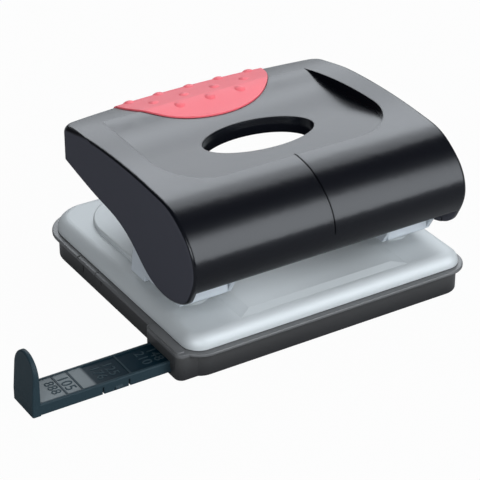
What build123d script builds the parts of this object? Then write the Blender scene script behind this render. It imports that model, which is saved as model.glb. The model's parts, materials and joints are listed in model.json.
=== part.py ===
from build123d import *
import math
import os

# Two-hole desk punch. Millimetres, +Z up, paper enters from -Y, the hand presses at +Y.
# The origin is on the desk, under the middle of the tray's width, 48.85 behind its front wall.

# Punching layout
hole_spacing = 80.0          # centre to centre of the two holes
hole_diameter = 5.5
edge_to_hole = 12.0          # from the paper's edge at its stop to the hole's centre
punch_y = -23.0

# Chip tray
tray_side_margin = 1.15      # from the handle's side out to the tray's side
tray_front_y = -48.85
tray_rear_y = 53.0
tray_corner = 7.0
tray_rear_corner = 12.4
tray_wall = 1.6
tray_floor = 1.0
lip_top_z = 9.8
lip_thickness = 1.0
lip_overhang = 2.25
tray_foot_round = 0.4
seat_gap = 0.3               # between the tray's lip and the plate standing on it
tongue_width = 9.0
tongue_thickness = 1.4
tongue_rise = 2.3            # how far the locating tongues stand above the lip
tongue_places = (-14.0, 35.0)
latch_length = 13.0
latch_y = 12.0
slit_width = 0.7

# Guide housing on the tray's left side
housing_out = 4.3            # how far it stands out from the tray's side
housing_front_y = -47.6
housing_rear_y = -25.4
housing_corner = 2.6
housing_frame = 0.45         # raised frame on its top

# Paper guide
guide_y = -35.2
guide_width = 13.8
guide_height = 3.9
guide_play = 0.2             # between the guide and its runners
guide_wall = 1.2
guide_reach = 107.6          # from the middle of the punch to the stop's outer face
guide_inner_end = -14.0
label_recess = 0.4
label_margin = 1.0
label_bar = 0.6
label_from = -104.3
label_bars = (-94.7, -89.3, -72.1)
guide_round = 0.6
guide_ribs = (-84.5, -69.5, -50.0, -32.0)
catch_slits = (-82.7, -73.3)
catch_slit = 0.6
catch_drop = 1.3             # from the bar's top down to the slits' upper ends
tooth_from = -78.4
tooth_to = -75.8
tooth_out = 0.6
tooth_height = 1.5
stop_height = 21.2
stop_foot = 2.8
stop_lean = 1.5              # the outer face leans in by this at its top
stop_base_drop = 0.3
stop_round = 0.6
runner_wall = 1.2
runner_end = 34.0
runner_hook = 1.4
guide_push_in = 44.0
guide_pull_out = 9.0

# Base plate, a steel pressing
plate_overhang = 0.2         # beyond the tray's walls
plate_corner = 6.5
plate_sheet = 1.0
plate_top_z = 14.6
rim_round = 4.2
platform_rise = 1.6
platform_margin = 8.5        # from the plate's side to the platform's
platform_rear_y = 47.0
platform_corner = 19.0
platform_front_corner = 3.0
platform_round = 0.7
bridge_margin = 1.9          # from a bracket's inner face to the bridge's flat top
bridge_slope = 4.8
bridge_rise = 0.9
bridge_front_y = -41.6
bridge_front_slope = 2.9
die_top_diameter = 11.0
die_foot_diameter = 14.0
die_play = 0.05              # radial, between a punch and its die or guide hole

# Punch brackets
bracket_width = 19.6
bracket_sheet = 1.5
front_tab_width = 16.0
front_tab_y = -34.5
front_tab_top_z = 30.0
front_tab_bend = 1.3
paper_slot = 2.8             # clear height over the dies
pivot_y = -39.0
pivot_z = 36.5
pivot_diameter = 4.0
pivot_play = 0.05
ear_radius = 4.2
gusset_z = 27.0
gusset_y = -38.6
bracket_top_rear_y = -18.0
bracket_knee_y = -3.5
bracket_knee_z = 27.0
bracket_rear_y = -1.5
upper_guide_z = 33.0
upper_guide_front_y = -29.5
upper_guide_rear_y = -14.5
rivet_diameter = 3.0
rivet_head_diameter = 5.0
rivet_head = 1.0
rivet_spread = 6.4
rivet_offset = 1.0           # the pair sits this much nearer the middle than the punch
rivet_play = 0.05

# Pivot pins
pin_head_diameter = 6.4
pin_head = 0.7
pin_side_play = 0.15
pin_tail = 1.5
clip_thickness = 0.6
clip_diameter = 7.4
clip_groove = 0.5
clip_play = 0.05
clip_mouth = 2.4

# Punches and their return springs
punch_top_z = 48.0
punch_tip_recess = 0.6       # how far the tip waits inside the lower guide
punch_notch = 1.1
punch_chamfer = 0.6
ring_groove_z = 46.2
ring_thickness = 0.7
ring_diameter = 9.2
ring_groove = 0.6
washer_thickness = 0.8
washer_diameter = 9.4
spring_wire = 0.9
spring_mean_diameter = 7.6
spring_turns = 4.5
spring_end_gap = 0.15

# Lever frame under the handle
lever_sheet = 1.5
lever_side_play = 0.2
lever_ear_radius = 3.8
lever_plate_z = 50.0
lever_front_y = -36.4
lever_rear_y = -17.5
lever_cheek_rear_z = 46.4
press_bead_y = -25.0
press_bead_radius = 3.0
press_gap = 0.3
screw_from_punch = 14.0
screw_from_middle = 10.0
screw_y = -28.5
screw_diameter = 2.4
screw_head_diameter = 5.0
screw_head = 1.4
screw_bite = 3.0
boss_diameter = 6.0

# Handle
handle_cover = 3.3           # from a bracket's outer face to the handle's side
handle_wall = 2.3
cheek_wall = 2.0
handle_rear_y = 46.9
handle_rear_side_y = 41.0
handle_corner = 6.0
rear_round = 2.6
side_round = 1.1
lip_z = 30.7
dish_margin = 9.7            # from the handle's side to the dish
dish_rear_margin = 14.6
dish_front_y = -26.2
dish_front_bow = 2.0
dish_widest_y = 5.0
dish_corner = 19.0
finger_hole_length = 41.8
finger_hole_width = 25.2
finger_hole_y = -2.0
finger_hole_round = 1.4
collar_wall = 1.9
collar_bottom_z = 47.0
groove_width = 0.5
groove_depth = 0.4
groove_end_z = 38.0
rib_thickness = 1.4
rib_bottom_z = 47.5
rib_from_punch = 10.0
rib_front_y = -8.0

# Grip
grip_half_width = 30.0
grip_depth_y = 28.5
grip_centre_y = 47.5
grip_thickness = 1.2         # below the handle's surface
grip_proud = 0.5
grip_gap = 0.2
grip_bottom_z = 45.5
bump_radius = 1.9
bump_height = 0.6
bump_pitch = 12.2
bump_row_pitch = 7.4
bump_first_row_y = 29.7

# Side lines of the handle as (Y, Z) points, all drawn from the front to the rear
nose_foot = (-45.2, 27.6)
nose_front = (-49.0, 37.9)
nose_brow = (-46.5, 46.2)
nose_shoulder = (-40.9, 51.45)
nose_top = (-34.0, 55.1)
crown_start = (-22.0, 56.65)
crown_line = ((-4.0, 57.25), (16.6, 56.5), (31.3, 54.8), (44.0, 52.5), (60.0, 49.3))
under_line = ((-38.5, 22.8), (-28.5, 21.2), (-18.4, 23.7), (-8.5, 30.2), (1.7, 34.5), (14.3, 36.4),
              (38.0, 40.8), (60.0, 45.2))
dish_floor_line = ((-30.2, 57.1), (-26.2, 56.55), (-12.0, 55.0), (-4.0, 54.05), (6.0, 53.1), (14.0, 52.95),
                   (25.0, 53.75), (30.0, 54.5), (33.5, 54.62), (38.0, 54.4))

# Places that follow from the sizes above
handle_width = hole_spacing + bracket_width + 2 * handle_cover
tray_width = handle_width + 2 * tray_side_margin
plate_width = tray_width + 2 * plate_overhang
platform_width = plate_width - 2 * platform_margin
bridge_top_width = hole_spacing - bracket_width - 2 * bridge_margin
dish_half_width = handle_width / 2 - dish_margin
dish_rear_half_width = handle_width / 2 - dish_rear_margin
beyond = handle_width        # farther out than any surface it is measured from
lip_bottom_z = lip_top_z - lip_thickness
plate_edge_z = lip_top_z + seat_gap
platform_top_z = plate_top_z + platform_rise
die_top_z = plate_top_z + bridge_rise
slot_top_z = die_top_z + paper_slot
paper_stop_y = punch_y + edge_to_hole
punch_x = hole_spacing / 2
screw_places = (screw_from_punch - punch_x, -screw_from_middle, screw_from_middle, punch_x - screw_from_punch)
rib_places = (rib_from_punch - punch_x, punch_x - rib_from_punch)
guide_bottom_z = tray_floor + guide_play
guide_top_z = guide_bottom_z + guide_height
wall_outer_x = bracket_width / 2
wall_inner_x = wall_outer_x - bracket_sheet
cheek_outer_x = wall_inner_x - lever_side_play
cheek_inner_x = cheek_outer_x - lever_sheet
upper_guide_top_z = upper_guide_z + bracket_sheet
washer_bottom_z = ring_groove_z - washer_thickness


def right_and_left(shape):
    """The same piece at the right punch and mirrored at the left one."""
    return shape, mirror(shape, about=Plane.YZ)


def box(x0, x1, y0, y1, z0, z1):
    """A block between two corners."""
    return Pos((x0 + x1) / 2, (y0 + y1) / 2, (z0 + z1) / 2) * Box(x1 - x0, y1 - y0, z1 - z0)


def upright(outline, low_z, high_z):
    """An outline in the XY plane raised from low_z to high_z."""
    return Pos(0, 0, low_z) * extrude(outline, high_z - low_z)


def across(outline, low_x, high_x):
    """An outline in the YZ plane, drawn as (Y, Z), spread from low_x to high_x."""
    return Pos(low_x, 0, 0) * extrude(Plane.YZ * outline, high_x - low_x)


def rod(diameter, x, y, low_z, high_z):
    """A round bar standing along Z."""
    return Pos(x, y, (low_z + high_z) / 2) * Cylinder(diameter / 2, high_z - low_z)


def axle(diameter, low_x, high_x, y, z):
    """A round bar lying along X."""
    return Pos((low_x + high_x) / 2, y, z) * Rot(0, 90, 0) * Cylinder(diameter / 2, high_x - low_x)


def four_corners(width, front_y, rear_y, front_corner, rear_corner):
    """A rectangle seen from above with its own roundings at the front and at the rear."""
    outline = Pos(0, (front_y + rear_y) / 2) * Rectangle(width, rear_y - front_y)
    outline = fillet(outline.vertices().sort_by(Axis.Y)[-2:], rear_corner)
    return fillet(outline.vertices().sort_by(Axis.Y)[:2], front_corner)


# Chip tray

def tray_outline(grow):
    """The tray's outline seen from above, grown for its lip or drawn in for its inside."""
    return four_corners(tray_width + 2 * grow, tray_front_y - grow, tray_rear_y + grow,
                        tray_corner + grow, tray_rear_corner + grow)


def tray_tongues():
    """Upright tongues on the tray's sides that locate the plate's rim."""
    outer = tray_width / 2 - tray_wall
    parts = []
    for side in (-1, 1):
        for place in tongue_places:
            near = side * outer
            far = side * (outer - tongue_thickness)
            parts.append(box(min(near, far), max(near, far), place - tongue_width / 2,
                             place + tongue_width / 2, tray_floor, lip_top_z + tongue_rise))
    return parts


def guide_runners():
    """Two hooked runners along the tray floor that hold the guide down."""
    start = -tray_width / 2 + tray_wall / 2
    parts = []
    for side, channel in ((-1, tooth_out), (1, 0)):
        inner = guide_y + side * (guide_width / 2 + guide_play + channel)
        outer = inner + side * runner_wall
        hook = inner - side * (runner_hook + channel)
        top = guide_top_z + guide_play
        parts.append(box(start, runner_end, min(inner, outer), max(inner, outer), 0.2, top + runner_wall))
        parts.append(box(start, runner_end, min(hook, outer), max(hook, outer), top, top + runner_wall))
    return parts


def chip_tray():
    """The smoke plastic tray with its lip, guide housing and runners."""
    body = extrude(tray_outline(0), lip_bottom_z)
    housing_x = -tray_width / 2 - housing_out
    housing_middle = (housing_front_y + housing_rear_y) / 2
    housing = upright(
        Pos(housing_x + 8, housing_middle)
        * RectangleRounded(16, housing_rear_y - housing_front_y, housing_corner), 0, lip_top_z)
    body = fillet((body + housing).faces().sort_by(Axis.Z)[0].edges(), tray_foot_round)
    lip = upright(tray_outline(lip_overhang), lip_bottom_z, lip_top_z)
    lip = fillet(lip.faces().sort_by(Axis.Z)[-1].edges(), lip_thickness * 0.4)
    frame_inner_x = -plate_width / 2 - seat_gap
    frame_outer_x = housing_x + 0.5
    frame_outline = (Pos((frame_inner_x + frame_outer_x) / 2, housing_middle)
                     * RectangleRounded(frame_inner_x - frame_outer_x,
                                        housing_rear_y - housing_front_y - 3, 1.2))
    body = body + lip + upright(frame_outline, lip_top_z, lip_top_z + housing_frame)
    body = body - upright(tray_outline(-tray_wall), tray_floor, beyond)
    for piece in tray_tongues() + guide_runners():
        body = body + piece
    slot = box(housing_x - 1, -tray_width / 2 + tray_wall + 1, guide_y - guide_width / 2 - guide_play,
               guide_y + guide_width / 2 + guide_play, tray_floor, guide_top_z + guide_play)
    tooth_way = box(housing_x - 1, -tray_width / 2 + tray_wall + 1,
                    guide_y - guide_width / 2 - guide_play - tooth_out, guide_y, tray_floor,
                    guide_bottom_z + tooth_height + guide_play)
    body = body - slot - tooth_way
    for end in (latch_y, latch_y + latch_length):
        body = body - box(-tray_width / 2 - lip_overhang - 1, -tray_width / 2 + tray_wall + 0.5, end,
                          end + slit_width, 3.0 if end > latch_y else lip_bottom_z - 4.5, lip_top_z + 1)
    return body


# Base plate

def platform(inset):
    """The raised rear part of the plate, drawn in by a sheet's thickness for its inside."""
    outline = four_corners(platform_width - 2 * inset, paper_stop_y + inset, platform_rear_y - inset,
                           platform_front_corner - inset, platform_corner - inset)
    block = upright(outline, plate_edge_z, platform_top_z - inset)
    if not inset:
        block = fillet(block.faces().sort_by(Axis.Z)[-1].edges(), platform_round)
    return block


def bridge(drop):
    """The low table between the dies, with sloping sides."""
    rear_y = paper_stop_y + 4
    front_y = bridge_front_y - bridge_front_slope
    foot = (Pos(0, (rear_y + front_y) / 2, plate_top_z - drop)
            * Rectangle(bridge_top_width + 2 * bridge_slope, rear_y - front_y))
    top = (Pos(0, (rear_y + bridge_front_y) / 2, die_top_z - drop)
           * Rectangle(bridge_top_width, rear_y - bridge_front_y))
    return loft([foot, top], ruled=True)


def pressed_form(inset):
    """The plate's outside, or its inside when drawn in by the sheet."""
    grow = plate_overhang - inset
    outline = four_corners(tray_width + 2 * grow, tray_front_y - grow, tray_rear_y + grow,
                           plate_corner - inset, tray_rear_corner + grow)
    block = upright(outline, plate_edge_z, plate_top_z - inset)
    block = fillet(block.faces().sort_by(Axis.Z)[-1].edges(), rim_round - inset)
    return block + platform(inset) + bridge(inset)


def rivet_points():
    """Where the brackets are riveted down, for the right-hand bracket."""
    middle_y = (paper_stop_y + bracket_rear_y) / 2
    middle_x = punch_x - rivet_offset
    return [(middle_x - rivet_spread / 2, middle_y), (middle_x + rivet_spread / 2, middle_y)]


def base_plate():
    """Pressed steel plate with rolled rim, platform, bridge and the two dies."""
    plate = pressed_form(0) - pressed_form(plate_sheet)
    for side in (-1, 1):
        die = Pos(side * punch_x, punch_y, (plate_top_z + die_top_z) / 2) * Cone(
            die_foot_diameter / 2, die_top_diameter / 2, die_top_z - plate_top_z)
        seat = rod(die_foot_diameter, side * punch_x, punch_y, plate_top_z - plate_sheet, plate_top_z)
        plate = plate + die + seat
        plate = plate - rod(hole_diameter + 2 * die_play, side * punch_x, punch_y, 0, beyond)
        for x, y in rivet_points():
            plate = plate - rod(rivet_diameter + 2 * rivet_play, side * x, y, 0, beyond)
    return plate


# Punch brackets

def bracket_side():
    """Outline of a bracket's side wall: foot, leaning front edge and pivot ear."""
    wall = make_face(Polyline(
        (front_tab_y + 1, slot_top_z),
        (gusset_y, gusset_z),
        (pivot_y - ear_radius * 0.94, pivot_z - ear_radius * 0.35),
        (pivot_y, pivot_z + ear_radius),
        (bracket_top_rear_y, pivot_z + ear_radius),
        (bracket_knee_y, bracket_knee_z),
        (bracket_rear_y, platform_top_z),
        (paper_stop_y + 0.3, platform_top_z),
        (paper_stop_y + 0.3, slot_top_z),
        close=True))
    rear = wall.vertices().sort_by(Axis.X)
    wall = fillet([v for v in rear if v.X > bracket_top_rear_y - 1 and v.Y > platform_top_z + 5], 5)
    ear = Pos(pivot_y, pivot_z) * Circle(ear_radius)
    hole = Pos(pivot_y, pivot_z) * Circle(pivot_diameter / 2 + pivot_play)
    return wall + ear - hole


def bracket():
    """The right-hand bracket: two side walls, punch guides, front tab and foot."""
    side = bracket_side()
    left = punch_x - wall_outer_x
    right = punch_x + wall_outer_x
    body = across(side, left, left + bracket_sheet) + across(side, right - bracket_sheet, right)
    lower_guide = box(left, right, front_tab_y + bracket_sheet, paper_stop_y, slot_top_z,
                      slot_top_z + bracket_sheet)
    tab_half = front_tab_width / 2
    front_tab = box(punch_x - tab_half, punch_x + tab_half, front_tab_y, front_tab_y + bracket_sheet + 0.1,
                    slot_top_z, front_tab_top_z)
    front_tab = fillet(front_tab.edges().filter_by(Axis.X).group_by(Axis.Z)[0].sort_by(Axis.Y)[0],
                       front_tab_bend)
    upper_guide = box(left, right, upper_guide_front_y, upper_guide_rear_y, upper_guide_z, upper_guide_top_z)
    foot = box(left, right, paper_stop_y + 0.3, bracket_rear_y, platform_top_z,
               platform_top_z + bracket_sheet)
    body = body + lower_guide + front_tab + upper_guide + foot
    body = body - rod(hole_diameter + 2 * die_play, punch_x, punch_y, slot_top_z - 1, upper_guide_top_z + 1)
    for x, y in rivet_points():
        body = body - rod(rivet_diameter + 2 * rivet_play, x, y, platform_top_z - 1, platform_top_z + 4)
    return body


def bracket_rivets():
    """Two domed rivets that hold the right-hand bracket to the plate."""
    top = platform_top_z + bracket_sheet
    under = platform_top_z - plate_sheet
    rivets = []
    for x, y in rivet_points():
        shank = rod(rivet_diameter, x, y, under, top)
        head = rod(rivet_head_diameter, x, y, top, top + rivet_head)
        head = fillet(head.faces().sort_by(Axis.Z)[-1].edges(), rivet_head * 0.7)
        tail = rod(rivet_head_diameter, x, y, under - rivet_head * 0.6, under)
        rivets.append(shank + head + tail)
    return Compound(children=rivets)


def pin_clip_x():
    """The inner and outer faces of the clip on the right-hand pivot pin."""
    outer = punch_x - wall_outer_x - pin_side_play
    return outer - clip_thickness, outer


def pivot_pin():
    """Headed pin through the right-hand bracket's ears, grooved for its clip."""
    clip_low, clip_high = pin_clip_x()
    head_x = punch_x + wall_outer_x + pin_side_play
    pin = axle(pivot_diameter, clip_low - pin_tail, head_x, pivot_y, pivot_z)
    pin = chamfer(pin.faces().sort_by(Axis.X)[0].edges(), 0.4)
    head = axle(pin_head_diameter, head_x, head_x + pin_head, pivot_y, pivot_z)
    groove = (axle(pivot_diameter + 1, clip_low - clip_play, clip_high + clip_play, pivot_y, pivot_z)
              - axle(pivot_diameter - 2 * clip_groove, clip_low - 1, clip_high + 1, pivot_y, pivot_z))
    return pin + head - groove


def snap_ring(outer, bore, mouth, thickness):
    """A flat open ring with its mouth towards +X, lying on the XY plane."""
    outline = Circle(outer / 2) - Circle(bore / 2) - Pos(outer / 2, 0) * Rectangle(outer, mouth)
    return extrude(outline, thickness)


def pivot_clip():
    """Open clip in the pivot pin's groove."""
    clip_low, clip_high = pin_clip_x()
    bore = pivot_diameter - 2 * clip_groove + 2 * clip_play
    ring = snap_ring(clip_diameter, bore, clip_mouth, clip_high - clip_low)
    return Pos(clip_low, pivot_y, pivot_z) * Rot(0, 90, 0) * ring


# Punches and return springs

def punch():
    """Right-hand punch: round pin with a ground notch at its tip and a ring groove."""
    tip_z = slot_top_z + punch_tip_recess
    pin = rod(hole_diameter, punch_x, punch_y, tip_z, punch_top_z)
    pin = chamfer(pin.faces().sort_by(Axis.Z)[-1].edges(), punch_chamfer)
    half = hole_diameter / 2 + 1
    notch = across(make_face(Polyline(
        (punch_y - half, tip_z - punch_notch * 0.3), (punch_y, tip_z + punch_notch),
        (punch_y + half, tip_z - punch_notch * 0.3), close=True)), punch_x - half, punch_x + half)
    groove = (rod(hole_diameter + 1, punch_x, punch_y, ring_groove_z - clip_play,
                  ring_groove_z + ring_thickness + clip_play)
              - rod(hole_diameter - 2 * ring_groove, punch_x, punch_y, ring_groove_z - 1,
                    ring_groove_z + ring_thickness + 1))
    return pin - notch - groove


def retaining_ring():
    """Open ring in the punch's groove that carries the spring washer."""
    bore = hole_diameter - 2 * ring_groove + 2 * clip_play
    ring = snap_ring(ring_diameter, bore, hole_diameter - 2 * ring_groove - 0.6, ring_thickness)
    return Pos(punch_x, punch_y, ring_groove_z) * Rot(0, 0, 90) * ring


def spring_washer():
    """Flat washer between the return spring and the retaining ring."""
    outline = Circle(washer_diameter / 2) - Circle(hole_diameter / 2 + 2 * die_play)
    return Pos(punch_x, punch_y, 0) * upright(outline, washer_bottom_z, ring_groove_z)


def spring_point(turn, radius, low, high):
    """A point on the coil's centre line, turn counted from its lower end."""
    angle = 2 * math.pi * turn
    height = low + (high - low) * turn / spring_turns
    return Vector(radius * math.cos(angle), radius * math.sin(angle), height)


def quarter_turn(start_turn, radius, low, high):
    """A quarter of a coil as two arcs that meet with one direction."""
    points = [spring_point(start_turn + step / 8, radius, low, high) for step in range(3)]
    rise = (high - low) / spring_turns
    angle = 2 * math.pi * start_turn
    tangent = Vector(-radius * math.sin(angle), radius * math.cos(angle), rise / (2 * math.pi))
    first = TangentArc(points[0], points[1], tangent=tangent)
    second = TangentArc(points[1], points[2], tangent=first % 1)
    return [first, second]


def spring_path():
    """The coil's centre line between the upper guide and the washer."""
    radius = spring_mean_diameter / 2
    low = upper_guide_top_z + spring_end_gap + spring_wire / 2
    high = washer_bottom_z - spring_end_gap - spring_wire / 2
    edges = []
    for step in range(int(spring_turns * 4)):
        edges += quarter_turn(step / 4, radius, low, high)
    return Wire(edges)


def return_spring():
    """Open coil spring round the right-hand punch, one unbroken tube."""
    path = spring_path()
    section = Plane(origin=path @ 0, z_dir=path % 0) * Circle(spring_wire / 2)
    coil = sweep(section, path=path)
    pitch = (washer_bottom_z - upper_guide_top_z - 2 * spring_end_gap - spring_wire) / spring_turns
    samples = [path @ (step / 400) for step in range(401)]
    near = [(a - b).length for i, a in enumerate(samples) for j, b in enumerate(samples)
            if (j - i) * spring_turns / 400 > 0.5]
    print("spring pitch", round(pitch, 2), "least gap to itself", round(min(near) - spring_wire, 2))
    return Pos(punch_x, punch_y, 0) * coil


# Lever frame

def lever_cheek():
    """Outline of a lever cheek from the pivot ear up to the lever plate."""
    cheek = make_face(Polyline(
        (pivot_y - lever_ear_radius, pivot_z + 0.5),
        (pivot_y - lever_ear_radius + 1.2, pivot_z + 7.5),
        (lever_front_y, lever_plate_z),
        (lever_front_y, lever_plate_z + lever_sheet),
        (lever_rear_y, lever_plate_z + lever_sheet),
        (lever_rear_y, lever_cheek_rear_z),
        (pivot_y + 8.5, pivot_z + 2.8),
        (pivot_y + 2.6, pivot_z - 2.7),
        (pivot_y, pivot_z),
        close=True))
    ear = Pos(pivot_y, pivot_z) * Circle(lever_ear_radius)
    hole = Pos(pivot_y, pivot_z) * Circle(pivot_diameter / 2 + pivot_play)
    return cheek + ear - hole


def press_bead():
    """Rounded bead under the lever plate that pushes the right-hand punch."""
    centre_z = punch_top_z + press_gap + press_bead_radius
    bead = axle(2 * press_bead_radius, punch_x - cheek_inner_x, punch_x + cheek_inner_x,
                press_bead_y, centre_z)
    above = box(0, beyond, lever_front_y, 0, lever_plate_z + lever_sheet, beyond)
    channel = axle(press_bead_radius, punch_x - cheek_inner_x, punch_x + cheek_inner_x,
                   press_bead_y, lever_plate_z + lever_sheet)
    return bead - above, channel


def lever_frame():
    """Pressed steel lever: one plate across both punches with four pivot cheeks."""
    half = punch_x + cheek_outer_x
    frame = box(-half, half, lever_front_y, lever_rear_y, lever_plate_z, lever_plate_z + lever_sheet)
    outline = lever_cheek()
    bead, channel = press_bead()
    inner = across(outline, punch_x - cheek_outer_x, punch_x - cheek_inner_x)
    outer = across(outline, punch_x + cheek_inner_x, punch_x + cheek_outer_x)
    for piece in (inner, outer, bead):
        for copy in right_and_left(piece):
            frame = frame + copy
    for copy in right_and_left(channel):
        frame = frame - copy
    for x in screw_places:
        frame = frame - rod(screw_diameter + 0.4, x, screw_y, lever_plate_z - 1, lever_plate_z + 3)
    return frame


def lever_screws():
    """Four screws from the lever plate up into the handle's bosses."""
    screws = []
    for x in screw_places:
        head = rod(screw_head_diameter, x, screw_y, lever_plate_z - screw_head, lever_plate_z)
        head = fillet(head.faces().sort_by(Axis.Z)[0].edges(), screw_head * 0.5)
        slot = box(x - 1.8, x + 1.8, screw_y - 0.3, screw_y + 0.3, lever_plate_z - screw_head - 0.1,
                   lever_plate_z - screw_head + 0.6)
        shank = rod(screw_diameter, x, screw_y, lever_plate_z, lever_plate_z + lever_sheet + screw_bite)
        screws.append(head + shank - slot)
    return Compound(children=screws)


# Handle

def drawn_in(point, share_y, share_z, inset):
    """A point of a side line moved inwards, by its shares of the inset along Y and Z."""
    return point[0] + share_y * inset, point[1] - share_z * inset


def nose_and_crown(inset):
    """The handle's upper side line, from under the nose over the crown to the rear."""
    nose = Spline(
        drawn_in(nose_foot, 1, 0, inset), drawn_in(nose_front, 1, 0, inset),
        drawn_in(nose_brow, 0.88, 0.47, inset), drawn_in(nose_shoulder, 0.59, 0.81, inset),
        drawn_in(nose_top, 0.27, 0.96, inset), drawn_in(crown_start, 0, 1, inset),
        tangents=((-0.55, 1), (1, 0.07)), tangent_scalars=(1, 1))
    crown = Spline([nose @ 1] + [drawn_in(point, 0, 1, inset) for point in crown_line],
                   tangents=((1, 0.07), (1, -0.2)), tangent_scalars=(1, 1))
    return [nose, crown]


def handle_side():
    """Side outline of the handle: nose, crown, falling rear and raised underside."""
    nose, crown = nose_and_crown(0)
    under = Spline([nose @ 0] + list(under_line), tangents=((0.55, -1), (1, 0.21)), tangent_scalars=(1, 1))
    return make_face([nose, crown, Line(crown @ 1, under @ 1), under])


def inner_side(inset):
    """Side outline of the handle's inside, left open downwards."""
    nose, crown = nose_and_crown(inset)
    rear = crown @ 1
    front = nose @ 0
    below = Polyline((rear.X, rear.Y), (rear.X, 0), (front.X, 0), (front.X, front.Y))
    return make_face([nose, crown] + below.edges())


def handle_plan(inset):
    """Top outline of the handle: straight sides and a bowed rear edge."""
    half = handle_width / 2 - inset
    side_rear = handle_rear_side_y - inset
    outline = make_face([
        Line((-half, -beyond), (half, -beyond)),
        Line((half, -beyond), (half, side_rear)),
        ThreePointArc((half, side_rear), (0, handle_rear_y - inset), (-half, side_rear)),
        Line((-half, side_rear), (-half, -beyond))])
    return fillet(outline.vertices().sort_by(Axis.Y)[-2:], handle_corner - inset)


def rear_roll(inset):
    """The plan raised to the crown's straight rear slope, with its rim rounded over."""
    near_y, near_z = drawn_in(crown_line[-2], 0, 1, inset)
    far_y, far_z = drawn_in(crown_line[-1], 0, 1, inset)
    front_z = near_z + (near_y + beyond) * (near_z - far_z) / (far_y - near_y)
    above = make_face(Polyline((-beyond, front_z), (far_y, far_z), (far_y, 2 * beyond),
                               (-beyond, 2 * beyond), close=True))
    column = upright(handle_plan(inset), 0, 2 * beyond) - across(above, -beyond, beyond)
    rounding = rear_round - inset
    if rounding > 0:
        rim = column.faces().sort_by(Axis.Z)[-1].edges().filter_by(Axis.X, reverse=True)
        column = fillet(rim, rounding)
    return column


def dish_plan(grow):
    """Top outline of the dish pressed into the handle's crown."""
    half = dish_half_width + grow
    narrow = dish_rear_half_width + grow
    side_front = dish_front_y - grow + dish_front_bow
    rear = handle_rear_y + grow
    outline = make_face([
        ThreePointArc((-half, side_front), (0, dish_front_y - grow), (half, side_front)),
        ThreePointArc((half, side_front), (half, dish_widest_y), (narrow, rear)),
        Line((narrow, rear), (-narrow, rear)),
        ThreePointArc((-narrow, rear), (-half, dish_widest_y), (-half, side_front))])
    return fillet(outline.vertices().sort_by(Axis.Y)[:2], dish_corner + grow)


def dish_cutter(sink):
    """What the dish takes away: everything over its floor, grown and sunk by a wall."""
    floor = Spline([drawn_in(point, 0, 1, sink) for point in dish_floor_line])
    front = floor @ 0
    rear = floor @ 1
    above = Polyline((rear.X, rear.Y), (rear.X, beyond), (front.X, beyond), (front.X, front.Y))
    return across(make_face([floor] + above.edges()), -beyond, beyond) & upright(dish_plan(sink), 0, beyond)


def handle_outside():
    """The handle's whole outer form, solid inside."""
    block = across(handle_side(), -handle_width / 2, handle_width / 2)
    rim = block.edges().filter_by(Axis.X, reverse=True).filter_by(Axis.Z, reverse=True)
    return (fillet(rim, side_round) & rear_roll(0)) - dish_cutter(0)


def handle_inside(inset):
    """What the handle encloses, drawn in from its outer form and open below."""
    half = handle_width / 2 - cheek_wall
    return (across(inner_side(inset), -half, half) & rear_roll(inset)) - dish_cutter(inset)


def finger_hole(grow, low_z, high_z):
    """The oval finger hole, grown for its collar."""
    outline = Ellipse(finger_hole_length / 2 + grow, finger_hole_width / 2 + grow)
    return upright(Pos(0, finger_hole_y) * outline, low_z, high_z)


def centre_groove():
    """The fine groove down the middle of the crown and nose."""
    half = groove_width / 2
    band = box(-half, half, -beyond, dish_front_y + dish_front_bow, groove_end_z, beyond)
    return band - across(inner_side(groove_depth), -half - 1, half + 1)


def shell_bosses():
    """Screw bosses and stiffening ribs hanging from the handle's ceiling."""
    parts = []
    for x in screw_places:
        parts.append(rod(boss_diameter, x, screw_y, lever_plate_z + lever_sheet, beyond))
    for x in rib_places:
        parts.append(box(x - rib_thickness / 2, x + rib_thickness / 2, rib_front_y, handle_rear_y,
                         rib_bottom_z, beyond))
    return parts


def grip_zone(grow):
    """The half oval the grip covers, seen from above."""
    outline = Pos(0, grip_centre_y) * Ellipse(grip_half_width + grow, grip_depth_y + grow)
    return upright(outline, grip_bottom_z - grow, beyond)


def handle_shell(outside, under_grip):
    """The moulded handle: thin walls, nose lip, collar, bosses, ribs and grip pocket."""
    inside = handle_inside(handle_wall)
    half = handle_width / 2 - cheek_wall
    shell = outside - inside - box(-half, half, -beyond, pivot_y, 0, lip_z)
    shell = shell - ((outside - under_grip) & grip_zone(grip_gap))
    for piece in shell_bosses() + [finger_hole(collar_wall, collar_bottom_z, beyond)]:
        shell = shell + (piece & inside)
    shell = shell - finger_hole(0, 0, beyond) - centre_groove()
    for x in screw_places:
        shell = shell - rod(screw_diameter + 0.1, x, screw_y, lever_plate_z,
                            lever_plate_z + lever_sheet + screw_bite + 0.3)
    return shell


def grip_bumps(surface):
    """Low domes in three staggered rows over the grip's surface."""
    ball = (bump_radius ** 2 + bump_height ** 2) / (2 * bump_height)
    domes = []
    for row in range(3):
        y = bump_first_row_y + row * bump_row_pitch
        for place in range(row + 3):
            x = (place - (row + 2) / 2) * bump_pitch
            top, normal = surface.find_intersection_points(Axis((x, y, beyond), (0, 0, -1)))[0]
            outward = normal if normal.Z > 0 else normal * -1
            domes.append(Pos(top - outward * (ball - bump_height)) * Sphere(ball))
    return domes


def grip_pad(under_grip):
    """Soft grip let into the handle's rear and slightly proud of it, with its domes."""
    surface = handle_inside(-grip_proud)
    pad = (surface - under_grip) & grip_zone(0)
    for dome in grip_bumps(surface):
        pad = pad + ((dome & grip_zone(0)) - under_grip)
    return pad


# Paper guide

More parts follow.
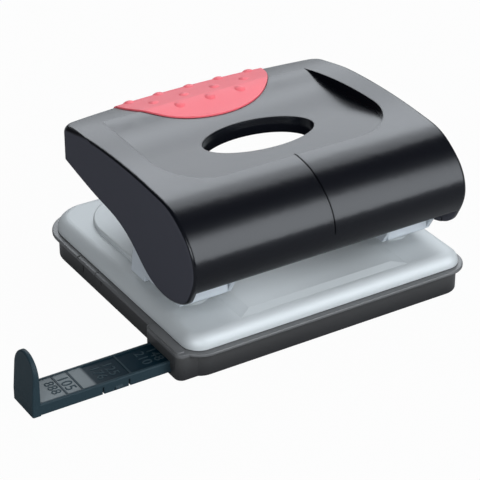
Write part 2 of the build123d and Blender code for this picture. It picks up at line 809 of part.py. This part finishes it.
def guide_stop():
    """The upright stop that the paper's side rests on, with a rounded head."""
    foot_z = guide_bottom_z - stop_base_drop
    half = guide_width / 2
    shoulder_z = stop_height - half
    outline = make_face([
        Line((guide_y - half, foot_z), (guide_y + half, foot_z)),
        Line((guide_y + half, foot_z), (guide_y + half, shoulder_z)),
        ThreePointArc((guide_y + half, shoulder_z), (guide_y, stop_height), (guide_y - half, shoulder_z)),
        Line((guide_y - half, shoulder_z), (guide_y - half, foot_z))])
    slab = across(outline, -guide_reach, -guide_reach + stop_foot)
    lean = Plane.XZ * make_face(Polyline(
        (-guide_reach, guide_top_z), (-guide_reach + stop_lean, stop_height + 1),
        (-guide_reach - 2, stop_height + 1), (-guide_reach - 2, guide_top_z), close=True))
    slab = slab - Pos(0, guide_y + guide_width, 0) * extrude(lean, 2 * guide_width)
    outer = [edge for edge in slab.edges() if edge.center().X < -guide_reach + stop_lean + 0.1]
    upper = [edge for edge in outer if edge.center().Z > guide_top_z + 0.1]
    return fillet(upper, stop_round)


def paper_guide():
    """The sliding paper guide: hollow bar, recessed scale, spring catch and stop."""
    low_y = guide_y - guide_width / 2
    high_y = guide_y + guide_width / 2
    start = -guide_reach + stop_foot / 2
    bar = box(start, guide_inner_end, low_y, high_y, guide_bottom_z, guide_top_z)
    bar = fillet(bar.edges().filter_by(Axis.X).group_by(Axis.Z)[-1], guide_round)
    length = guide_inner_end - label_margin - label_from
    scale = Pos((label_from + guide_inner_end - label_margin) / 2, guide_y) * RectangleRounded(
        length, guide_width - 2 * label_margin, 1.0)
    bar = bar - upright(scale, guide_top_z - label_recess, guide_top_z + 1)
    for x in label_bars:
        bar = bar + box(x - label_bar / 2, x + label_bar / 2, low_y + label_margin, high_y - label_margin,
                        guide_top_z - label_recess, guide_top_z - label_recess / 2)
    inner_low = low_y + guide_wall
    inner_high = high_y - guide_wall
    ceiling = guide_top_z - label_recess - guide_wall
    edges = [-guide_reach + stop_foot + guide_wall] + list(guide_ribs) + [guide_inner_end]
    for left, right in zip(edges, edges[1:]):
        bar = bar - box(left + guide_wall / 2, right - guide_wall / 2, inner_low, inner_high,
                        guide_bottom_z - 1, ceiling)
    for x in catch_slits:
        bar = bar - box(x - catch_slit / 2, x + catch_slit / 2, low_y - 1, inner_low + 0.1,
                        guide_bottom_z - 1, guide_top_z - catch_drop)
    tooth = across(make_face(Polyline(
        (low_y + 0.2, guide_bottom_z), (low_y - tooth_out, guide_bottom_z + tooth_height * 0.3),
        (low_y - tooth_out, guide_bottom_z + tooth_height * 0.6), (low_y, guide_bottom_z + tooth_height),
        (low_y + 0.2, guide_bottom_z + tooth_height), close=True)), tooth_from, tooth_to)
    return bar + tooth + guide_stop()


def save(node, shape):
    """Write one node's solid or group of solids."""
    export_step(shape, "parts/" + node + ".step")


def save_pair(name, shape):
    """Write the right-hand piece and its mirror image at the left."""
    right, left = right_and_left(shape)
    save("right_" + name, right)
    save("left_" + name, left)


os.makedirs("parts", exist_ok=True)
handle = handle_outside()
under_grip = handle_inside(grip_thickness)
save("chip_tray", chip_tray())
save("base_plate", base_plate())
save_pair("bracket", bracket())
save_pair("bracket_rivets", bracket_rivets())
save_pair("pivot_pin", pivot_pin())
save_pair("pivot_clip", pivot_clip())
save_pair("punch", punch())
save_pair("spring", return_spring())
save_pair("spring_washer", spring_washer())
save_pair("retaining_ring", retaining_ring())
save("lever_frame", lever_frame())
save("lever_screws", lever_screws())
save("handle_shell", handle_shell(handle, under_grip))
save("grip_pad", grip_pad(under_grip))
save("paper_guide", paper_guide())
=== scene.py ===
"""Looks of a two-hole desk punch: its finishes, its guide's numbers, and a plain studio."""

import json
import math

import bpy
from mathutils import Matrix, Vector


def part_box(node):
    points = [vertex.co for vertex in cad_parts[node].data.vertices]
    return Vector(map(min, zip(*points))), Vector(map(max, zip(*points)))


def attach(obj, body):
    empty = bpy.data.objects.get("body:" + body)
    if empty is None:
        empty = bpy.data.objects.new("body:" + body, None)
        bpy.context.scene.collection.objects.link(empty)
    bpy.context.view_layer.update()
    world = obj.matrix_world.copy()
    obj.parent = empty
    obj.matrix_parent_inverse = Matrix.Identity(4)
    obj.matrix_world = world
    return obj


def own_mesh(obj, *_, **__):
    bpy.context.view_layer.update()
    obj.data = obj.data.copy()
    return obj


bl_info = {
    "name": "Two-hole punch looks",
    "version": (1, 0, 0),
    "blender": (4, 5, 0),
    "location": "3D View > Sidebar > Punch",
    "description": "Finishes for a two-hole desk punch and a plain studio to show it in",
    "category": "Object",
}

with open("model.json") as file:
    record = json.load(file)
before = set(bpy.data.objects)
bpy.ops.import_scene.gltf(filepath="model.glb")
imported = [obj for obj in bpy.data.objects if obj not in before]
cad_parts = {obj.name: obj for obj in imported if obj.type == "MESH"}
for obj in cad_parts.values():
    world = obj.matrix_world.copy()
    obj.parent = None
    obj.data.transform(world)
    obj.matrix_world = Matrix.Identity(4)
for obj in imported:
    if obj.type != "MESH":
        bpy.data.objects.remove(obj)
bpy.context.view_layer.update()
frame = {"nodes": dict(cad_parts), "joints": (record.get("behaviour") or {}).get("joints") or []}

MM = 0.001


# Shader building

# Sockets of the Mix node for colours, whose names are the same in its other modes
MIX_FACTOR, MIX_FIRST, MIX_SECOND, MIX_RESULT = 0, 6, 7, 2


class Value:
    """A shader socket that takes part in ordinary arithmetic."""

    def __init__(self, shader, socket):
        self.shader = shader
        self.socket = socket

    def __add__(self, other):
        return self.shader.math("ADD", self, other)

    def __radd__(self, other):
        return self.shader.math("ADD", other, self)

    def __sub__(self, other):
        return self.shader.math("SUBTRACT", self, other)

    def __rsub__(self, other):
        return self.shader.math("SUBTRACT", other, self)

    def __mul__(self, other):
        return self.shader.math("MULTIPLY", self, other)

    def __rmul__(self, other):
        return self.shader.math("MULTIPLY", other, self)

    def __abs__(self):
        return self.shader.math("ABSOLUTE", self)

    def smooth(self, low, high):
        """0 below low, 1 above high, with a soft step between."""
        return self.shader.add("ShaderNodeMapRange", {"interpolation_type": "SMOOTHSTEP"},
                               {"Value": self, "From Min": low, "From Max": high})["Result"]

    def band(self, start, end):
        """1 between a soft start and a soft end, each a pair of numbers, and 0 outside them."""
        return self.smooth(*start) * (1.0 - self.smooth(*end))


class Added:
    """A node in a material, whose outputs are read by name or number."""

    def __init__(self, shader, node):
        self.shader = shader
        self.node = node

    def __getitem__(self, name):
        return Value(self.shader, self.node.outputs[name])


class Shader:
    """A material's node tree, filled one node at a time."""

    def __init__(self, tree):
        self.tree = tree
        tree.nodes.clear()

    def add(self, kind, settings=None, inputs=None):
        """Adds a node: settings first, then the values or links of its sockets."""
        node = self.tree.nodes.new(kind)
        for name, setting in (settings or {}).items():
            setattr(node, name, setting)
        for name, item in (inputs or {}).items():
            socket = node.inputs[name]
            if isinstance(item, Value):
                self.tree.links.new(item.socket, socket)
            else:
                socket.default_value = item
        return Added(self, node)

    def math(self, operation, *terms):
        """A Math node on values and plain numbers, in their order."""
        return self.add("ShaderNodeMath", {"operation": operation}, dict(enumerate(terms)))["Value"]

    def place(self):
        """Where a point lies on the object, in metres."""
        return self.add("ShaderNodeTexCoord")["Object"]

    def axis(self, name):
        """One coordinate of the point, in metres."""
        return self.add("ShaderNodeSeparateXYZ", None, {0: self.place()})[name]

    def facing(self, name):
        """How much the surface faces along one axis, from -1 to 1."""
        normal = self.add("ShaderNodeNewGeometry")["Normal"]
        return self.add("ShaderNodeSeparateXYZ", None, {0: normal})[name]

    def noise(self, per_metre, detail=3.0, roughness=0.5, stretch=None):
        """Noise between 0 and 1 with so many grains to the metre."""
        where = self.place()
        if stretch:
            where = self.add("ShaderNodeMapping", None,
                             {"Vector": where, "Scale": stretch})["Vector"]
        return self.add("ShaderNodeTexNoise", None,
                        {"Vector": where, "Scale": per_metre, "Detail": detail,
                         "Roughness": roughness})["Fac"]

    def blend(self, factor, first, second):
        """A colour between two colours."""
        return self.add("ShaderNodeMix", {"data_type": "RGBA"},
                        {MIX_FACTOR: factor, MIX_FIRST: first, MIX_SECOND: second})[MIX_RESULT]

    def bump(self, height, depth, normal=None):
        """A normal tilted by a height between 0 and 1 that stands for depth metres."""
        inputs = {"Height": height, "Strength": 1.0, "Distance": depth}
        if normal:
            inputs["Normal"] = normal
        return self.add("ShaderNodeBump", None, inputs)["Normal"]

    def rounded(self, radius):
        """The surface's normal as if its sharp edges were rounded off."""
        return self.add("ShaderNodeBevel", {"samples": 6}, {"Radius": radius})["Normal"]

    def finish(self, inputs):
        """The surface itself, from one Principled shader."""
        surface = self.add("ShaderNodeBsdfPrincipled", None, inputs)["BSDF"]
        self.add("ShaderNodeOutputMaterial", None, {"Surface": surface})


def new_finish(name):
    """An empty material and its shader."""
    material = bpy.data.materials.new(name)
    material.use_nodes = True
    return material, Shader(material.node_tree)


def dress(node, material):
    """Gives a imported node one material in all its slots."""
    piece = frame["nodes"][node]
    if not piece.material_slots:
        piece.data.materials.append(material)
    for slot in piece.material_slots:
        slot.material = material


def opaque(colour, level=1.0):
    """A colour with full alpha, made deeper or paler by a level."""
    return tuple(min(1.0, channel * level) for channel in colour) + (1.0,)


# Colours, sizes and light levels that a user may change

def colour_property(name, description, default):
    """A colour, as red, green and blue."""
    return bpy.props.FloatVectorProperty(name=name, description=description, default=default,
                                         subtype="COLOR", size=3, min=0.0, max=1.0)


def length_property(name, description, default):
    """A length in metres."""
    return bpy.props.FloatProperty(name=name, description=description, default=default,
                                   min=0.0, precision=5, unit="LENGTH")


def power_property(name, description, default):
    """A lamp's power in watts."""
    return bpy.props.FloatProperty(name=name, description=description, default=default,
                                   min=0.0, unit="POWER")


class PunchColours(bpy.types.PropertyGroup):
    """Colours of the punch's finishes."""
    handle: colour_property(
        "Handle", "Colour of the moulded handle", (0.0018, 0.0022, 0.0042))
    cheek: colour_property(
        "Handle sides", "Colour of the handle's textured sides", (0.060, 0.060, 0.073))
    grip: colour_property(
        "Grip", "Colour of the soft grip", (0.86, 0.138, 0.165))
    plate: colour_property(
        "Base plate", "Colour of the satin silver base plate", (0.50, 0.52, 0.52))
    zinc: colour_property(
        "Brackets", "Colour of the zinc-plated sheet steel", (0.72, 0.76, 0.80))
    steel: colour_property(
        "Turned steel", "Colour of pins, punches, rivets and screws", (0.55, 0.56, 0.58))
    steel_cloud: colour_property(
        "Turned steel, clouded", "Colour of the steel where its plating is clouded",
        (0.42, 0.43, 0.45))
    wire: colour_property(
        "Spring wire", "Colour of the drawn wire of the springs", (0.45, 0.46, 0.48))
    dark_steel: colour_property(
        "Spring steel", "Colour of the blackened clips and rings", (0.10, 0.10, 0.11))
    # Painted light: the tray's three colours grade one smoke plastic from dark at its foot to pale
    # at its thin lip, a painted glow of light shining through it
    tray: colour_property(
        "Chip tray", "Colour of the smoke plastic at the tray's foot", (0.012, 0.012, 0.013))
    tray_wall_glow: colour_property(
        "Tray wall", "Colour of the tray's wall below its lip", (0.052, 0.051, 0.050))
    tray_lip_glow: colour_property(
        "Tray lip", "Colour of the thin lip that lets light through", (0.12, 0.12, 0.12))
    guide: colour_property(
        "Paper guide", "Colour of the dark moulded guide", (0.020, 0.035, 0.043))
    recess: colour_property(
        "Guide recess", "Colour of the dark part of the guide's scale", (0.002, 0.012, 0.019))
    scale: colour_property(
        "Guide scale", "Colour of the pale part of the guide's scale", (0.17, 0.19, 0.195))
    figure_dark: colour_property(
        "Dark figures", "Colour of the figures on the scale's pale part", (0.006, 0.008, 0.010))
    figure_grey: colour_property(
        "Grey figures", "Colour of the figures on the scale's dark part", (0.030, 0.046, 0.054))


class PunchSizes(bpy.types.PropertyGroup):
    """Sizes that the finishes and the figures have."""
    handle_edge: length_property(
        "Handle edge", "Radius that the shading gives to the handle's edges", 1.5 * MM)
    tray_edge: length_property(
        "Tray edge", "Radius that the shading gives to the tray's edges", 0.4 * MM)
    sheet_edge: length_property(
        "Sheet edge", "Radius that the shading gives to the edges of sheet steel", 0.3 * MM)
    figure_rise: length_property(
        "Figure rise", "How far the guide's figures stand up from its scale", 0.12 * MM)


class PunchStudio(bpy.types.PropertyGroup):
    """Size of the studio's floor, and levels and colours of its light."""
    floor: length_property("Floor size", "Distance from the floor's middle to its sides", 3.0)
    rear: power_property("Rear softbox", "Power of the low softbox behind the punch", 5.6)
    high: power_property("High softbox", "Power of the high softbox at the rear right", 7.6)
    front: power_property("Front softbox", "Power of the low softbox at the front right", 10.2)
    wide: power_property("Wide softbox", "Power of the large softbox at the front right", 8.0)
    fill: power_property("Fill softbox", "Power of the softbox at the front left", 18.5)
    lamps: colour_property("Lamps", "Colour of the softboxes' light", (0.89, 0.94, 1.0))
    cloth: colour_property("Floor colour", "Colour of the floor where it takes light and shadow",
                           (0.32, 0.32, 0.32))
    sky: bpy.props.FloatProperty(
        name="Surround", description="Strength of the even light all round",
        default=0.03, min=0.0, max=1.0, subtype="FACTOR")


# Where finishes change on a piece, in metres: each change runs from one number to the next

# The handle: textured sides this far from its middle, and the dull wall of its finger hole
SIDE_EDGE = (0.0495, 0.0515)
HOLE_END = (0.030, 0.034)
HOLE_FRONT = (-0.024, -0.020)
HOLE_BACK = (0.016, 0.020)
HOLE_RIM = (0.0498, 0.0508)

# The tray: painted light, its wall painted paler from its foot up to its lip, as light shining
# through the thin plastic would show
WALL_GLOW_RISE = (0.0005, 0.0088)
LIP_GLOW_EDGE = (0.0084, 0.0090)

# The guide: heights of the recess that holds its scale, and the scale's pale part along the bar
RECESS_FOOT = (0.0042, 0.0045)
RECESS_TOP = (0.00475, 0.00485)
PALE_START = (-0.1052, -0.1040)
PALE_END = (-0.0852, -0.0838)

# How squarely a surface faces an axis: from the first number on it starts to count as turned
# that way, and from the second it counts wholly
TURNED_SIDEWAYS = (0.80, 0.97)
TURNED_UPWARD = (0.80, 0.95)
NEARLY_LEVEL = (0.3, 0.6)


# Finishes

def moulded_black(colours, edge):
    """Semi-gloss black plastic: faint orange peel, handling marks, textured sides, a dull hole."""
    material, shader = new_finish("moulded_black")
    outward = abs(shader.axis("X"))
    side = abs(shader.facing("X")).smooth(*TURNED_SIDEWAYS) * outward.smooth(*SIDE_EDGE)
    near_hole = (1.0 - outward.smooth(*HOLE_END)) * shader.axis("Y").band(HOLE_FRONT, HOLE_BACK)
    below_rim = 1.0 - shader.axis("Z").smooth(*HOLE_RIM)
    upright = 1.0 - abs(shader.facing("Z")).smooth(*NEARLY_LEVEL)
    hole = near_hole * below_rim * upright
    dull = shader.math("MAXIMUM", side, hole)
    grain = shader.noise(5200.0, detail=2.0)
    peel = shader.noise(420.0)
    marks = shader.noise(38.0, detail=4.0, roughness=0.6)
    relief = peel * (1.0 - side) * 0.35 + grain * (0.10 + side * 0.9)
    shader.finish({
        "Base Color": shader.blend(side, opaque(colours.handle), opaque(colours.cheek)),
        "Roughness": 0.25 + marks * 0.08 + dull * 0.30 + grain * 0.03,
        "IOR": 1.15,
        "Coat Weight": 1.0 - dull,
        "Coat IOR": 1.36,
        "Coat Roughness": 0.22,
        "Normal": shader.bump(relief, 0.03 * MM, shader.rounded(edge)),
    })
    return material


def soft_red(colours):
    """Soft grip rubber: matt, finely grained, a little deeper in colour between its grains."""
    material, shader = new_finish("soft_red")
    grain = shader.noise(3600.0)
    cloud = shader.noise(60.0)
    shader.finish({
        "Base Color": shader.blend(grain * 0.35 + cloud * 0.25,
                                   opaque(colours.grip), opaque(colours.grip, 0.82)),
        "Roughness": 0.46 + cloud * 0.12 + grain * 0.05,
        "IOR": 1.48,
        "Subsurface Weight": 0.06,
        "Subsurface Radius": (4.0 * MM, 1.0 * MM, 1.0 * MM),
        "Normal": shader.bump(grain, 0.03 * MM),
    })
    return material


def satin_silver(colours):
    """Satin silver coat on pressed steel: fine metallic grain and faint drawing marks."""
    material, shader = new_finish("satin_silver")
    grain = shader.noise(9000.0, detail=2.0)
    flow = shader.noise(120.0, detail=4.0, roughness=0.55, stretch=(1.0, 0.35, 1.0))
    cloud = shader.noise(22.0)
    shader.finish({
        "Base Color": shader.blend(grain * 0.45 + cloud * 0.35,
                                   opaque(colours.plate), opaque(colours.plate, 1.12)),
        "Metallic": 0.22,
        "Roughness": 0.48 + flow * 0.08 + grain * 0.05,
        "IOR": 1.33,
        "Normal": shader.bump(grain * 0.7 + flow * 0.3, 0.012 * MM),
    })
    return material


def zinc_plate(colours, edge):
    """Zinc-plated sheet: rolled grain along the sheet and cloudy passivation."""
    material, shader = new_finish("zinc_plate")
    rolled = shader.noise(2600.0, roughness=0.6, stretch=(0.06, 1.0, 1.0))
    cloud = shader.noise(260.0, detail=4.0)
    shader.finish({
        "Base Color": shader.blend(cloud * 0.6 + rolled * 0.3,
                                   opaque(colours.zinc), opaque(colours.zinc, 0.80)),
        "Metallic": 0.45,
        "Roughness": 0.30 + cloud * 0.10 + rolled * 0.08,
        "Normal": shader.bump(rolled, 0.01 * MM, shader.rounded(edge)),
    })
    return material


def turned_steel(colours):
    """Turned and plated steel: fine rings left by the tool."""
    material, shader = new_finish("turned_steel")
    rings = shader.noise(1500.0, detail=2.0, stretch=(0.15, 0.15, 6.0))
    cloud = shader.noise(500.0)
    shader.finish({
        "Base Color": shader.blend(cloud, opaque(colours.steel), opaque(colours.steel_cloud)),
        "Metallic": 1.0,
        "Roughness": 0.22 + cloud * 0.10 + rings * 0.08,
        "Normal": shader.bump(rings, 0.008 * MM),
    })
    return material


def spring_steel(name, colour):
    """Drawn or blackened spring steel with an oily sheen."""
    material, shader = new_finish(name)
    cloud = shader.noise(900.0)
    shader.finish({
        "Base Color": shader.blend(cloud, opaque(colour), opaque(colour, 0.7)),
        "Metallic": 0.95,
        "Roughness": 0.30 + cloud * 0.14,
        "Normal": shader.bump(cloud, 0.01 * MM),
    })
    return material


def smoke_plastic(colours, edge):
    """Smoke-grey moulded plastic: semi-gloss, with painted light that makes it paler towards its
    thin lip.
    """
    material, shader = new_finish("smoke_plastic")
    height = shader.axis("Z")
    flow = shader.noise(90.0, detail=4.0, roughness=0.55, stretch=(0.4, 0.4, 1.6))
    grain = shader.noise(4200.0, detail=2.0)
    # Painted light: the wall is painted darker at the foot and paler with height, standing in for
    # light shining through the plastic
    wall = shader.blend(height.smooth(*WALL_GLOW_RISE) * 0.8 + flow * 0.2,
                        opaque(colours.tray), opaque(colours.tray_wall_glow))
    relief = grain * 0.6 + flow * 0.4
    shader.finish({
        # Painted glow of light through the thin lip
        "Base Color": shader.blend(height.smooth(*LIP_GLOW_EDGE) * (0.75 + flow * 0.25),
                                   wall, opaque(colours.tray_lip_glow)),
        "Roughness": 0.30 + flow * 0.08 + grain * 0.04,
        "IOR": 1.5,
        "Normal": shader.bump(relief, 0.02 * MM, shader.rounded(edge)),
    })
    return material


def guide_plastic(colours):
    """Semi-gloss blue-black guide with a pale part at the stop's end of its scale."""
    material, shader = new_finish("guide_plastic")
    turned_up = shader.facing("Z").smooth(*TURNED_UPWARD)
    recess = shader.axis("Z").band(RECESS_FOOT, RECESS_TOP) * turned_up
    pale = recess * shader.axis("X").band(PALE_START, PALE_END)
    grain = shader.noise(3800.0, detail=2.0)
    bar = shader.blend(recess, opaque(colours.guide), opaque(colours.recess))
    shader.finish({
        "Base Color": shader.blend(pale, bar, opaque(colours.scale)),
        "Roughness": 0.34 + grain * 0.06 + pale * 0.12,
        "IOR": 1.18,
        "Normal": shader.bump(grain, 0.02 * MM),
    })
    return material


def number_ink(colours):
    """Moulded figures: dark on the scale's pale part, greyish on its dark part."""
    material, shader = new_finish("number_ink")
    on_dark = shader.axis("X").smooth(*PALE_END)
    wear = shader.noise(2400.0)
    shader.finish({
        "Base Color": shader.blend(on_dark, opaque(colours.figure_dark),
                                   opaque(colours.figure_grey)),
        "Roughness": 0.46 + wear * 0.14,
        "IOR": 1.15,
        "Normal": shader.bump(wear, 0.01 * MM),
    })
    return material


# Pieces

class PUNCH_OT_tray(bpy.types.Operator):
    """Dress the chip tray"""
    bl_idname = "punch.tray"
    bl_label = "Chip tray"
    bl_options = {"REGISTER", "UNDO"}

    def execute(self, context):
        scene = context.scene
        dress("chip_tray", smoke_plastic(scene.punch_colours, scene.punch_sizes.tray_edge))
        return {"FINISHED"}


class PUNCH_OT_base(bpy.types.Operator):
    """Dress the base plate, brackets, lever frame and washers"""
    bl_idname = "punch.base"
    bl_label = "Base and brackets"
    bl_options = {"REGISTER", "UNDO"}

    def execute(self, context):
        colours = context.scene.punch_colours
        dress("base_plate", satin_silver(colours))
        zinc = zinc_plate(colours, context.scene.punch_sizes.sheet_edge)
        for node in ("left_bracket", "right_bracket", "lever_frame",
                     "left_spring_washer", "right_spring_washer"):
            dress(node, zinc)
        return {"FINISHED"}


def shorten_spring(side):
    """Gives a spring a mesh of its own; its shortening by the punch's travel is worked out but not
    applied, so it keeps its shape.
    """
    slide = side + "punch_slide"
    travel = next(joint["range_m"][1] for joint in frame["joints"] if joint["name"] == slide)
    foot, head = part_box(side + "spring")
    length = head[2] - foot[2]
    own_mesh(frame["nodes"][side + "spring"], slide, axis=(0, 0, 1), anchor=tuple(head),
              keep=1.0 - travel / length)


class PUNCH_OT_works(bpy.types.Operator):
    """Dress the punches, springs, rings, pins, clips, rivets and screws"""
    bl_idname = "punch.works"
    bl_label = "Punches and fastenings"
    bl_options = {"REGISTER", "UNDO"}

    def execute(self, context):
        colours = context.scene.punch_colours
        steel = turned_steel(colours)
        wire = spring_steel("spring_wire", colours.wire)
        dark = spring_steel("blackened_steel", colours.dark_steel)
        for side in ("left_", "right_"):
            for node in ("punch", "pivot_pin", "bracket_rivets"):
                dress(side + node, steel)
            dress(side + "spring", wire)
            dress(side + "pivot_clip", dark)
            dress(side + "retaining_ring", dark)
            shorten_spring(side)
        dress("lever_screws", steel)
        return {"FINISHED"}


class PUNCH_OT_handle(bpy.types.Operator):
    """Dress the handle and its soft grip"""
    bl_idname = "punch.handle"
    bl_label = "Handle and grip"
    bl_options = {"REGISTER", "UNDO"}

    def execute(self, context):
        colours = context.scene.punch_colours
        dress("handle_shell", moulded_black(colours, context.scene.punch_sizes.handle_edge))
        dress("grip_pad", soft_red(colours))
        return {"FINISHED"}


# Figures on the guide: text, middle of its line along the bar and height of a figure, in mm
FIGURES = (
    ("888", -97.3, 3.4),
    ("105", -92.3, 3.8),
    ("125", -76.6, 3.5),
    ("176", -81.0, 3.5),
    ("148", -60.2, 3.5),
    ("210", -64.6, 3.5),
)
FIGURE_OFFSET = 0.3 * MM  # from the bar's middle, towards the back
SCALE_FLOOR = 4.7 * MM    # height of the scale's floor
FONT_SIZE = 1.4           # a font's size for a figure of height 1
FONT_SPACING = 1.06


class PUNCH_OT_guide(bpy.types.Operator):
    """Dress the paper guide and set plain figures on its scale"""
    bl_idname = "punch.guide"
    bl_label = "Paper guide and figures"
    bl_options = {"REGISTER", "UNDO"}

    def execute(self, context):
        colours = context.scene.punch_colours
        rise = context.scene.punch_sizes.figure_rise
        dress("paper_guide", guide_plastic(colours))
        low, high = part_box("paper_guide")
        across = (low[1] + high[1]) / 2 + FIGURE_OFFSET
        ink = number_ink(colours)
        for text, along, height in FIGURES:
            curve = bpy.data.curves.new("guide_figure_" + text, "FONT")
            curve.body = text
            curve.size = height * FONT_SIZE * MM
            curve.align_x = "CENTER"
            curve.align_y = "CENTER"
            curve.extrude = rise / 2
            curve.space_character = FONT_SPACING
            curve.materials.append(ink)
            figure = bpy.data.objects.new("guide_figure_" + text, curve)
            figure.location = (along * MM, across, SCALE_FLOOR + rise / 2)
            figure.rotation_euler = (0.0, 0.0, -math.pi / 2)
            context.scene.collection.objects.link(figure)
            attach(figure, "guide")
        return {"FINISHED"}


# Studio

# The camera, where the punch was seen from: place in metres, turn and drop in degrees
CAMERA_PLACE = (-0.3238, -0.5149, 0.3627)
CAMERA_TURN = 31.68
CAMERA_DROP = 29.98
CAMERA_LENS = 151.38
SENSOR_WIDTH = 36.0
NEAREST_SEEN = 0.01

# Softboxes: name, place, the point each faces, width and height, in metres
FLOOR_MIDDLE = (0.0, 0.0, 0.0)
PUNCH_MIDDLE = (0.0, 0.0, 0.04)
SOFTBOXES = (
    ("rear", (0.54, 1.00, 0.60), PUNCH_MIDDLE, 1.0, 0.85),
    ("high", (0.57, 0.68, 0.98), PUNCH_MIDDLE, 1.0, 0.8),
    ("front", (0.56, -1.00, 0.64), PUNCH_MIDDLE, 0.75, 1.12),
    ("wide", (0.61, -1.09, 0.76), PUNCH_MIDDLE, 0.85, 1.5),
    ("fill", (-0.95, -1.05, 0.80), FLOOR_MIDDLE, 1.0, 0.8),
)

# The camera sees the floor as white, apart from a small share that takes the shadow.
# The punch mirrors only a little of the white of the floor and the surround.
SEEN_SHARE = 0.97
MIRRORED_SHARE = 0.02
WHITE = (1.0, 1.0, 1.0, 1.0)


def point_at(holder, place, direction):
    """Sets a lamp or camera at a place, facing a direction."""
    holder.location = place
    holder.rotation_euler = direction.to_track_quat("-Z", "Y").to_euler()


def lay_floor(scene, far, colour):
    """A plain pale floor that stays white and keeps a soft shadow."""
    mesh = bpy.data.meshes.new("studio_floor")
    mesh.from_pydata([(-far, -far, 0), (far, -far, 0), (far, far, 0), (-far, far, 0)], [],
                     [(0, 1, 2, 3)])
    floor = bpy.data.objects.new("studio_floor", mesh)
    scene.collection.objects.link(floor)
    material, shader = new_finish("pale_floor")
    path = shader.add("ShaderNodeLightPath")
    seen = path["Is Camera Ray"] * SEEN_SHARE + path["Is Glossy Ray"] * MIRRORED_SHARE
    cloth = shader.add("ShaderNodeBsdfDiffuse", None, {"Color": opaque(colour)})["BSDF"]
    glow = shader.add("ShaderNodeEmission", None, {"Color": WHITE, "Strength": 1.0})["Emission"]
    mixed = shader.add("ShaderNodeMixShader", None, {0: seen, 1: cloth, 2: glow})["Shader"]
    shader.add("ShaderNodeOutputMaterial", None, {"Surface": mixed})
    mesh.materials.append(material)


def light_surround(scene, sky):
    """A white surround for the camera, which gives the punch an even, dim light."""
    world = bpy.data.worlds.new("studio_surround")
    world.use_nodes = True
    scene.world = world
    shader = Shader(world.node_tree)
    path = shader.add("ShaderNodeLightPath")
    seen = path["Is Camera Ray"] + path["Is Glossy Ray"] * MIRRORED_SHARE
    light = shader.add("ShaderNodeBackground", None,
                       {"Color": WHITE, "Strength": seen * (1.0 - sky) + sky})["Background"]
    shader.add("ShaderNodeOutputWorld", None, {"Surface": light})


def hang_softboxes(scene, studio):
    """The softboxes, each facing its point."""
    for name, place, aim, width, height in SOFTBOXES:
        lamp = bpy.data.lights.new(name + "_softbox", "AREA")
        lamp.shape = "RECTANGLE"
        lamp.size = width
        lamp.size_y = height
        lamp.energy = getattr(studio, name)
        lamp.color = studio.lamps
        holder = bpy.data.objects.new(name + "_softbox", lamp)
        point_at(holder, place, Vector(aim) - Vector(place))
        scene.collection.objects.link(holder)


def place_camera(scene):
    """The camera at the place the punch was seen from."""
    lens = bpy.data.cameras.new("view")
    lens.lens = CAMERA_LENS
    lens.sensor_width = SENSOR_WIDTH
    lens.clip_start = NEAREST_SEEN
    turn = math.radians(CAMERA_TURN)
    drop = math.radians(CAMERA_DROP)
    ahead = Vector((math.sin(turn) * math.cos(drop), math.cos(turn) * math.cos(drop),
                    -math.sin(drop)))
    holder = bpy.data.objects.new("view", lens)
    point_at(holder, CAMERA_PLACE, ahead)
    scene.collection.objects.link(holder)
    scene.camera = holder


class PUNCH_OT_stage(bpy.types.Operator):
    """Lay the floor, set the lights and the camera"""
    bl_idname = "punch.stage"
    bl_label = "Studio"
    bl_options = {"REGISTER", "UNDO"}

    def execute(self, context):
        scene = context.scene
        studio = scene.punch_studio
        scene.view_settings.view_transform = "Standard"
        lay_floor(scene, studio.floor, studio.cloth)
        light_surround(scene, studio.sky)
        hang_softboxes(scene, studio)
        place_camera(scene)
        return {"FINISHED"}


class PUNCH_PT_panel(bpy.types.Panel):
    """The punch's pieces and studio in the sidebar"""
    bl_label = "Two-hole punch"
    bl_idname = "PUNCH_PT_panel"
    bl_space_type = "VIEW_3D"
    bl_region_type = "UI"
    bl_category = "Punch"

    def draw(self, context):
        layout = self.layout
        scene = context.scene
        for group in (scene.punch_colours, scene.punch_sizes, scene.punch_studio):
            for name in type(group).__annotations__:
                layout.prop(group, name)
        for operator in OPERATORS:
            layout.operator(operator.bl_idname)


OPERATORS = (PUNCH_OT_stage, PUNCH_OT_tray, PUNCH_OT_base, PUNCH_OT_works, PUNCH_OT_handle,
             PUNCH_OT_guide)
CLASSES = (PunchColours, PunchSizes, PunchStudio) + OPERATORS + (PUNCH_PT_panel,)


def register():
    for item in CLASSES:
        bpy.utils.register_class(item)
    bpy.types.Scene.punch_colours = bpy.props.PointerProperty(type=PunchColours)
    bpy.types.Scene.punch_sizes = bpy.props.PointerProperty(type=PunchSizes)
    bpy.types.Scene.punch_studio = bpy.props.PointerProperty(type=PunchStudio)


def unregister():
    del bpy.types.Scene.punch_studio
    del bpy.types.Scene.punch_sizes
    del bpy.types.Scene.punch_colours
    for item in reversed(CLASSES):
        bpy.utils.unregister_class(item)


def main():
    """Builds everything in order."""
    register()
    bpy.ops.punch.stage()
    bpy.ops.punch.tray()
    bpy.ops.punch.base()
    bpy.ops.punch.works()
    bpy.ops.punch.handle()
    bpy.ops.punch.guide()


if __name__ == "__main__":
    main()
